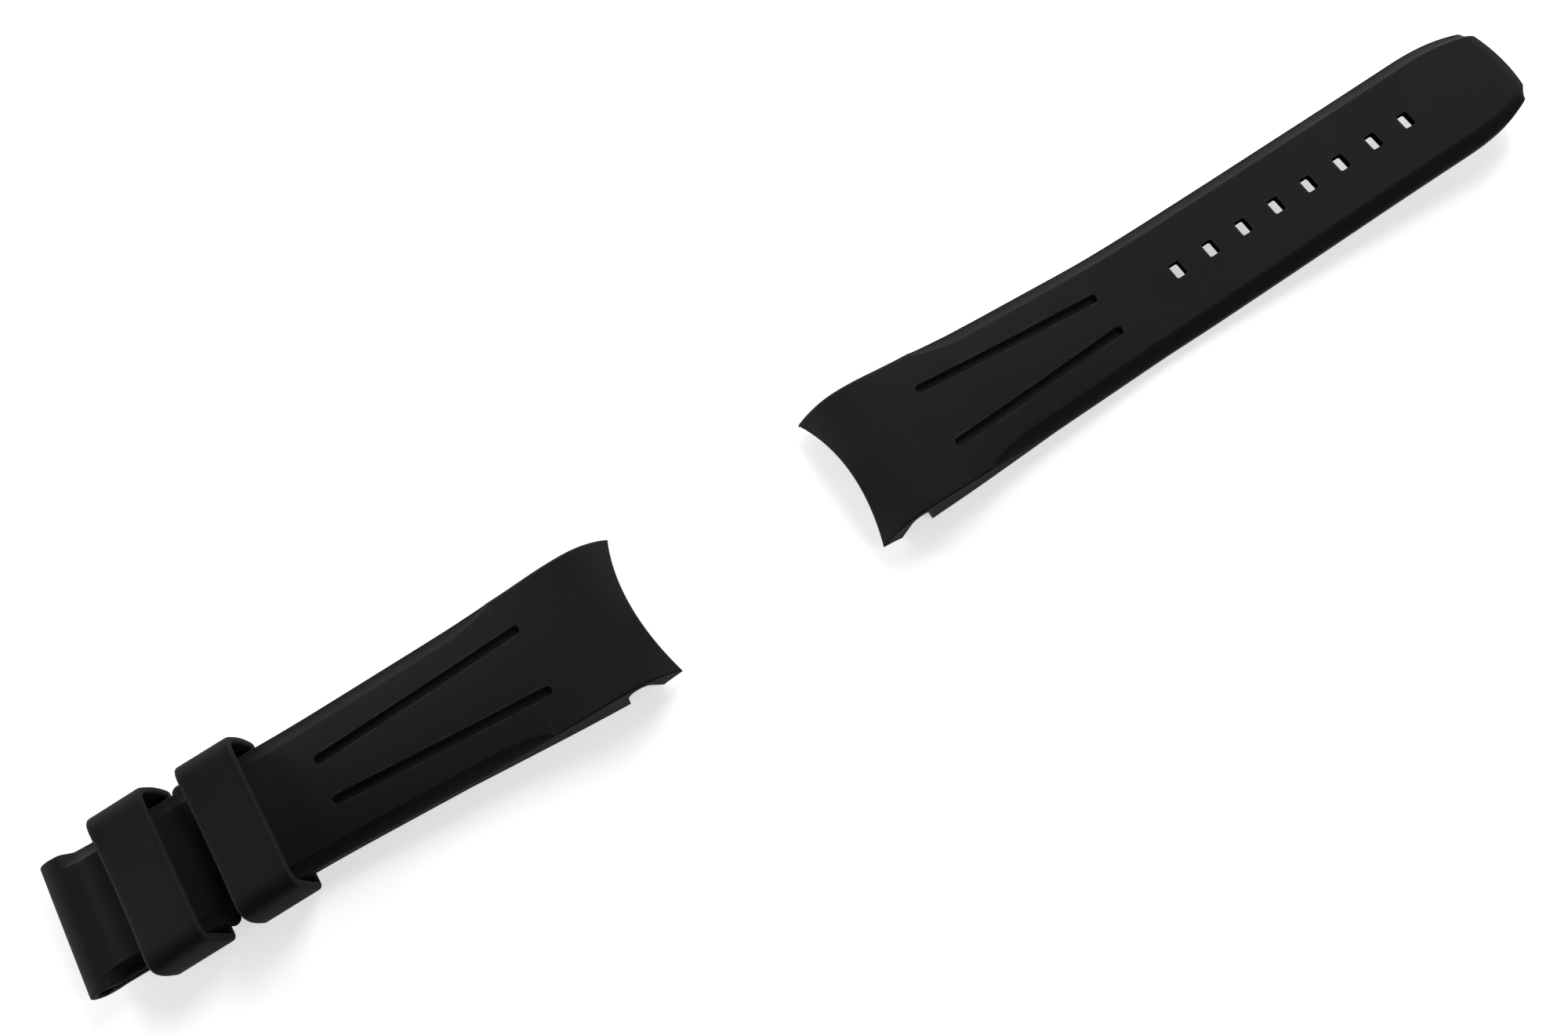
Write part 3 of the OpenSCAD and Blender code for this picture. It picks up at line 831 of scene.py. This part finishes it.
def place(obj, hole_half):
    """From the frame of a half, in millimetres, into the shared frame, in metres."""
    if hole_half:
        turned = Matrix.Rotation(YAW, 4, "Z")
        matrix = Matrix.Translation((BAR_SPACING, SIDE_SHIFT, 0)) @ turned
        matrix = matrix @ Matrix.Translation((-BAR_BACK, 0, -BAR_H))
    else:
        matrix = Matrix.Translation((BAR_BACK, 0, -BAR_H)) @ Matrix.Rotation(math.pi, 4, "Z")
    obj.data.transform(Matrix.Scale(MM, 4) @ matrix)


def shade(obj, degrees):
    """Smooth shading that keeps the crisp edges."""
    for polygon in obj.data.polygons:
        polygon.use_smooth = True
    bpy.context.view_layer.objects.active = obj
    obj.select_set(True)
    bpy.ops.object.shade_smooth_by_angle(angle=math.radians(degrees), keep_sharp_edges=False)
    obj.select_set(False)


def wear_edges(obj):
    """Marks the crisp outer edges, where handling has polished the rubber lighter."""
    bm = bmesh.new()
    bm.from_mesh(obj.data)
    layer = bm.verts.layers.float.new("worn_edge")
    for edge in bm.edges:
        if len(edge.link_faces) == 2 and edge.is_convex:
            turn = edge.calc_face_angle(0.0)
            if turn > WEAR_FROM:
                for vert in edge.verts:
                    vert[layer] = max(vert[layer], WEAR * unit(turn / WEAR_FULL))
    bm.to_mesh(obj.data)
    bm.free()


def paint_hole_shade(obj, half):
    """Marks the walls of the adjusting holes for painted shade, which makes them darker; run
    before placing.
    """
    bm = bmesh.new()
    bm.from_mesh(obj.data)
    layer = bm.verts.layers.float.new("painted_hole_shade")
    first = HOLE_S - HOLE_LEN
    last = HOLE_S + (HOLES - 1) * HOLE_PITCH + HOLE_LEN
    for vert in bm.verts:
        s, y, z = vert.co
        inside = first < s < last and abs(y) < HOLE_WIDE / 2 + HOLE_SHADE_SIDE
        low, high = half.top(s) - WEB_T - HOLE_SHADE_BELOW, half.top(s) - HOLE_SHADE_ABOVE
        vert[layer] = 1.0 if inside and low < z < high else 0.0
    bm.to_mesh(obj.data)
    bm.free()


def rubber(name, level, roughness, grain, with_hole_shade):
    """Matte black moulded rubber: a fine grain, soft patches of handling and a faint dust."""
    material = bpy.data.materials.new(name)
    material.use_nodes = True
    nodes, links = material.node_tree.nodes, material.node_tree.links
    shader = nodes["Principled BSDF"]
    places = nodes.new("ShaderNodeTexCoord")

    def noise(scale, detail, roughness_value):
        node = nodes.new("ShaderNodeTexNoise")
        node.inputs["Scale"].default_value = scale
        node.inputs["Detail"].default_value = detail
        node.inputs["Roughness"].default_value = roughness_value
        links.new(places.outputs["Object"], node.inputs["Vector"])
        return node

    def ramp(source, low, high, first, second):
        node = nodes.new("ShaderNodeMapRange")
        node.inputs["From Min"].default_value = low
        node.inputs["From Max"].default_value = high
        node.inputs["To Min"].default_value = first
        node.inputs["To Max"].default_value = second
        links.new(source, node.inputs["Value"])
        return node

    patches = noise(*PATCH_NOISE)
    fine = noise(*GRAIN_NOISE)
    specks = noise(*SPECK_NOISE)
    worn = nodes.new("ShaderNodeAttribute")
    worn.attribute_name = "worn_edge"
    dust = ramp(specks.outputs["Fac"], *DUST_RAMP)
    faded = nodes.new("ShaderNodeMath")
    faded.operation = "MAXIMUM"
    links.new(dust.outputs["Result"], faded.inputs[0])
    links.new(worn.outputs["Fac"], faded.inputs[1])
    colour = nodes.new("ShaderNodeMix")
    colour.data_type = "RGBA"
    colour.inputs["A"].default_value = (level, level, level * BLUE_SHARE, 1)
    pale = level * FADED_SHARE
    colour.inputs["B"].default_value = (pale, pale, pale, 1)
    links.new(faded.outputs[0], colour.inputs["Factor"])
    # Painted shade: the walls of the adjusting holes are darkened and lose their gloss
    if with_hole_shade:
        painted_hole_shade = nodes.new("ShaderNodeAttribute")
        painted_hole_shade.attribute_name = "painted_hole_shade"
        shaded_colour = nodes.new("ShaderNodeMix")
        shaded_colour.data_type = "RGBA"
        shaded_colour.inputs["B"].default_value = (HOLE_SHADE_COLOUR, HOLE_SHADE_COLOUR, HOLE_SHADE_COLOUR, 1)
        links.new(painted_hole_shade.outputs["Fac"], shaded_colour.inputs["Factor"])
        links.new(colour.outputs["Result"], shaded_colour.inputs["A"])
        links.new(shaded_colour.outputs["Result"], shader.inputs["Base Color"])
        shaded_gloss = ramp(painted_hole_shade.outputs["Fac"], 0.0, 1.0, GLOSS, 0.0)
        links.new(shaded_gloss.outputs["Result"], shader.inputs["Specular IOR Level"])
    else:
        links.new(colour.outputs["Result"], shader.inputs["Base Color"])
        shader.inputs["Specular IOR Level"].default_value = GLOSS
    smoother, rougher = roughness - PATCH_SPREAD, roughness + PATCH_SPREAD
    handled = ramp(patches.outputs["Fac"], *PATCH_RANGE, smoother, rougher)
    links.new(handled.outputs["Result"], shader.inputs["Roughness"])
    add_bump(nodes, links, fine.outputs["Fac"], grain, GRAIN_DEPTH, shader)
    return material


def add_bump(nodes, links, height, strength, distance, shader):
    """Bumps the shader's surface by the given height output."""
    bump = nodes.new("ShaderNodeBump")
    bump.inputs["Strength"].default_value = strength
    bump.inputs["Distance"].default_value = distance
    links.new(height, bump.inputs["Height"])
    links.new(bump.outputs["Normal"], shader.inputs["Normal"])


def steel(name):
    """Drawn stainless tube with fine rings round it."""
    material = bpy.data.materials.new(name)
    material.use_nodes = True
    nodes, links = material.node_tree.nodes, material.node_tree.links
    shader = nodes["Principled BSDF"]
    shader.inputs["Base Color"].default_value = STEEL_COLOUR
    shader.inputs["Metallic"].default_value = 1.0
    places = nodes.new("ShaderNodeTexCoord")
    stretch = nodes.new("ShaderNodeMapping")
    stretch.inputs["Scale"].default_value = RINGS_STRETCH
    links.new(places.outputs["Object"], stretch.inputs["Vector"])
    lines = nodes.new("ShaderNodeTexNoise")
    lines.inputs["Scale"].default_value = RINGS_SCALE
    lines.inputs["Detail"].default_value = RINGS_DETAIL
    links.new(stretch.outputs["Vector"], lines.inputs["Vector"])
    spread = nodes.new("ShaderNodeMapRange")
    spread.inputs["To Min"].default_value = STEEL_ROUGHNESS[0]
    spread.inputs["To Max"].default_value = STEEL_ROUGHNESS[1]
    links.new(lines.outputs["Fac"], spread.inputs["Value"])
    links.new(spread.outputs["Result"], shader.inputs["Roughness"])
    add_bump(nodes, links, lines.outputs["Fac"], RINGS_BUMP, RINGS_DEPTH, shader)
    return material


def dress(obj, material, body, node):
    """Gives a piece its material, slot, body and the CAD node that it replaces."""
    obj.data.materials.clear()
    obj.data.materials.append(material)
    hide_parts(node)
    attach(obj, body)


def make_hole_half(material):
    """The half with the adjusting holes."""
    half = Half(True)
    obj = body_mesh(half, "hole_half_rubber")
    cut_watch_end(obj)
    combine(obj, [groove_cutter(half, side) for side in (-1, 1)], "DIFFERENCE")
    combine(obj, [channel_cutter(half)], "DIFFERENCE")
    combine(obj, [hole_cutter(half, i) for i in range(HOLES)], "DIFFERENCE")
    # Painted shade on the walls of the adjusting holes
    paint_hole_shade(obj, half)
    place(obj, True)
    shade(obj, SHARP_STRAP)
    wear_edges(obj)
    dress(obj, material, "hole_half", "hole_strap")


def make_buckle_half(material):
    """The half that is folded round the clasp bar, with its two stops."""
    half = Half(False)
    obj = body_mesh(half, "buckle_half_rubber")
    combine(obj, [fold_mesh()], "UNION")
    combine(obj, [stop_mesh(side) for side in (-1, 1)], "UNION")
    cut_watch_end(obj)
    combine(obj, [groove_cutter(half, side) for side in (-1, 1)], "DIFFERENCE")
    place(obj, False)
    shade(obj, SHARP_STRAP)
    wear_edges(obj)
    dress(obj, material, "buckle_half", "buckle_strap")


def keeper_outline(steps=10):
    """Outer outline of a keeper in (y, z): soft corners and walls that belly out a little."""
    top, belly, foot = KEEPER_HALF - KEEPER_TOP_IN, KEEPER_HALF, KEEPER_HALF - KEEPER_FOOT_IN
    corners = ((0, 0), (foot, 0), (belly, BELLY_Z), (top, KEEPER_H), (0, KEEPER_H))
    right = [Vector(corner) for corner in corners]
    half = []
    for i, radius in enumerate((KEEPER_RB, BELLY_R, KEEPER_RT)):
        run = bent(right[i + 1], right[i], right[i + 2], radius * CORNER_REACH, steps)
        if half:
            half += between(half[-1], run[0], KEEPER_WALL_STEPS)
        half += run
    widest = max(p.x for p in half)
    half = [Vector((p.x * KEEPER_HALF / widest, p.y)) for p in half]
    across = Vector((-half[-1].x, half[-1].y))
    outline = half + between(half[-1], across, KEEPER_FLAT_STEPS)
    outline += [Vector((-p.x, p.y)) for p in reversed(half)]
    outline += between(outline[-1], outline[0], KEEPER_FLAT_STEPS)
    return outline


def between(first, second, count):
    """The points that part the way from first to second into count steps, without its ends."""
    return [first.lerp(second, i / count) for i in range(1, count)]


def normals_of(outline):
    """Outward direction at each point of a closed outline that runs counterclockwise."""
    size = len(outline)
    normals = []
    for i in range(size):
        along = (outline[(i + 1) % size] - outline[i - 1]).normalized()
        normals.append(Vector((along.y, -along.x)))
    return normals


def wall_section(length, wall, radius, steps=5):
    """Section of a keeper's wall as (along, depth under the outside), with rounded edges."""
    points = []
    for cx, cy, begin in ((1, 1, 0), (-1, 1, 90), (-1, -1, 180), (1, -1, 270)):
        for i in range(steps + 1):
            angle = math.radians(begin + 90 * i / steps)
            along = cx * (length / 2 - radius) + radius * math.cos(angle)
            depth = wall / 2 - cy * (wall / 2 - radius) - radius * math.sin(angle)
            points.append((along, depth))
        if cx == cy:
            flat = points[-1][1]
            for i in range(1, KEEPER_FACE_STEPS):
                part = 1 - 2 * i / KEEPER_FACE_STEPS
                points.append((cx * (length / 2 - radius) * part, flat))
    return points


def make_keeper(name, node, s, y, skew, lean, dip, sag, material):
    """A closed rubber loop. It leans toward the fold by lean and its top dips there and sags."""
    outline = keeper_outline()
    normals = normals_of(outline)
    profile = wall_section(KEEPER_LEN, KEEPER_WALL, KEEPER_EDGE)
    points = []
    for p, normal in zip(outline, normals):
        for along, depth in profile:
            q = p - normal * depth
            height = unit(q.y / KEEPER_H)
            reach = along / KEEPER_LEN + 0.5
            sunk = dip * reach + sag * (SAG_SHARE + reach) * (1 - (q.x / KEEPER_HALF) ** 2)
            drop = smooth((height - DROP_FROM) / DROP_RUN) * sunk
            flare = 2 * KEEPER_FLARE / KEEPER_LEN * smooth((FLARE_TO - height) / FLARE_RUN)
            x = along * (1 + flare) + lean * smooth(height)
            points.append(Vector((x, q.x, q.y - drop)))
    obj = build(name, points, tube_faces(len(outline), len(profile), closed=True))
    turned = Matrix.Rotation(math.radians(skew), 4, "Z")
    obj.data.transform(Matrix.Translation((s + KEEPER_LEN / 2, y, 0)) @ turned)
    place(obj, False)
    shade(obj, SHARP_KEEPER)
    wear_edges(obj)
    dress(obj, material, node, node)


def make_tube(name, node, body, hole_half, material):
    """Bar tube with its ends broken, inside and out."""
    end = LUG_HALF - NOTCH_D
    profile = [
        (-end + TUBE_RIM, TUBE_OUT), (end - TUBE_RIM, TUBE_OUT),
        (end, TUBE_OUT - TUBE_RIM), (end, TUBE_IN + TUBE_RIM),
        (end - TUBE_RIM, TUBE_IN), (-end + TUBE_RIM, TUBE_IN),
        (-end, TUBE_IN + TUBE_RIM), (-end, TUBE_OUT - TUBE_RIM),
    ]
    points = []
    for i in range(TUBE_STEPS):
        angle = 2 * math.pi * i / TUBE_STEPS
        for along, r in profile:
            x, z = BAR_BACK + r * math.cos(angle), BAR_H + r * math.sin(angle)
            points.append(Vector((x, along, z)))
    obj = build(name, points, tube_faces(TUBE_STEPS, len(profile), closed=True))
    place(obj, hole_half)
    shade(obj, SHARP_TUBE)
    dress(obj, material, body, node)


def make_camera():
    """The camera of the photograph."""
    data = bpy.data.cameras.new("camera")
    data.sensor_width = SENSOR
    data.lens = SENSOR * FOCAL_PIXELS / IMAGE_WIDTH
    data.clip_start = CLIP_START
    data.clip_end = CLIP_END
    camera = bpy.data.objects.new("camera", data)
    right = CAMERA_RIGHT.normalized()
    up = -(CAMERA_DOWN - right * CAMERA_DOWN.dot(right)).normalized()
    back = right.cross(up)
    turned = Matrix((right, up, back)).transposed().to_4x4()
    camera.matrix_world = Matrix.Translation(CAMERA_AT) @ turned
    bpy.context.scene.collection.objects.link(camera)
    bpy.context.scene.camera = camera


def floor_material():
    """Pale matt floor that shows white to the camera and keeps the shadow."""
    material = bpy.data.materials.new("floor_white")
    material.use_nodes = True
    nodes, links = material.node_tree.nodes, material.node_tree.links
    nodes.clear()
    output = nodes.new("ShaderNodeOutputMaterial")
    matt = nodes.new("ShaderNodeBsdfDiffuse")
    matt.inputs["Color"].default_value = FLOOR_COLOUR
    lift = nodes.new("ShaderNodeEmission")
    path = nodes.new("ShaderNodeLightPath")
    seen = path.outputs["Is Camera Ray"]
    for kind in ("Is Glossy Ray", "Is Transmission Ray"):
        either = nodes.new("ShaderNodeMath")
        either.operation = "MAXIMUM"
        links.new(seen, either.inputs[0])
        links.new(path.outputs[kind], either.inputs[1])
        seen = either.outputs[0]
    power = nodes.new("ShaderNodeMath")
    power.operation = "MULTIPLY"
    power.inputs[1].default_value = FLOOR_LIFT
    links.new(seen, power.inputs[0])
    links.new(power.outputs[0], lift.inputs["Strength"])
    both = nodes.new("ShaderNodeAddShader")
    links.new(matt.outputs[0], both.inputs[0])
    links.new(lift.outputs[0], both.inputs[1])
    links.new(both.outputs[0], output.inputs["Surface"])
    return material


def make_floor():
    """A square floor at the height of the strap's lowest point."""
    size = FLOOR_HALF
    z = cad_box[0][2]
    corners = [(-size, -size, z), (size, -size, z), (size, size, z), (-size, size, z)]
    floor = build("floor", corners, [(0, 1, 2, 3)])
    floor.data.materials.append(floor_material())


def make_world():
    """Dark studio surround, so that the softboxes alone shape the strap."""
    world = bpy.data.worlds.new("studio")
    world.use_nodes = True
    bpy.context.scene.world = world
    surround = world.node_tree.nodes["Background"]
    surround.inputs["Color"].default_value = (1, 1, 1, 1)
    surround.inputs["Strength"].default_value = SURROUND


def softbox(name, azimuth, elevation, radiance):
    """A square lamp aimed at the strap, whose face has the given brightness, where 1 is white."""
    azimuth, elevation = math.radians(azimuth), math.radians(elevation)
    level = LAMP_DISTANCE * math.cos(elevation)
    height = LAMP_DISTANCE * math.sin(elevation)
    at = LAMP_AIM + Vector((level * math.cos(azimuth), level * math.sin(azimuth), height))
    data = bpy.data.lights.new(name, "AREA")
    data.shape = "SQUARE"
    data.size = LAMP_SIZE
    data.energy = radiance * math.pi * LAMP_SIZE**2
    lamp = bpy.data.objects.new(name, data)
    lamp.location = at
    lamp.rotation_euler = (LAMP_AIM - at).to_track_quat("-Z", "Y").to_euler()
    bpy.context.scene.collection.objects.link(lamp)


make_camera()
# The strap's rubber carries the painted shade of the holes' walls
strap_rubber = rubber("strap_rubber_look", *STRAP_LOOK, with_hole_shade=True)
keeper_rubber = rubber("keeper_rubber_look", *KEEPER_LOOK, with_hole_shade=False)
tube_steel = steel("tube_steel_look")
make_hole_half(strap_rubber)
make_buckle_half(strap_rubber)
for keeper in KEEPERS:
    make_keeper(*keeper, keeper_rubber)
make_tube("hole_half_tube", "hole_strap_tube", "hole_half", True, tube_steel)
make_tube("buckle_half_tube", "buckle_strap_tube", "buckle_half", False, tube_steel)
make_floor()
make_world()
for lamp in SOFTBOXES:
    softbox(*lamp)
bpy.context.scene.view_settings.view_transform = "Standard"
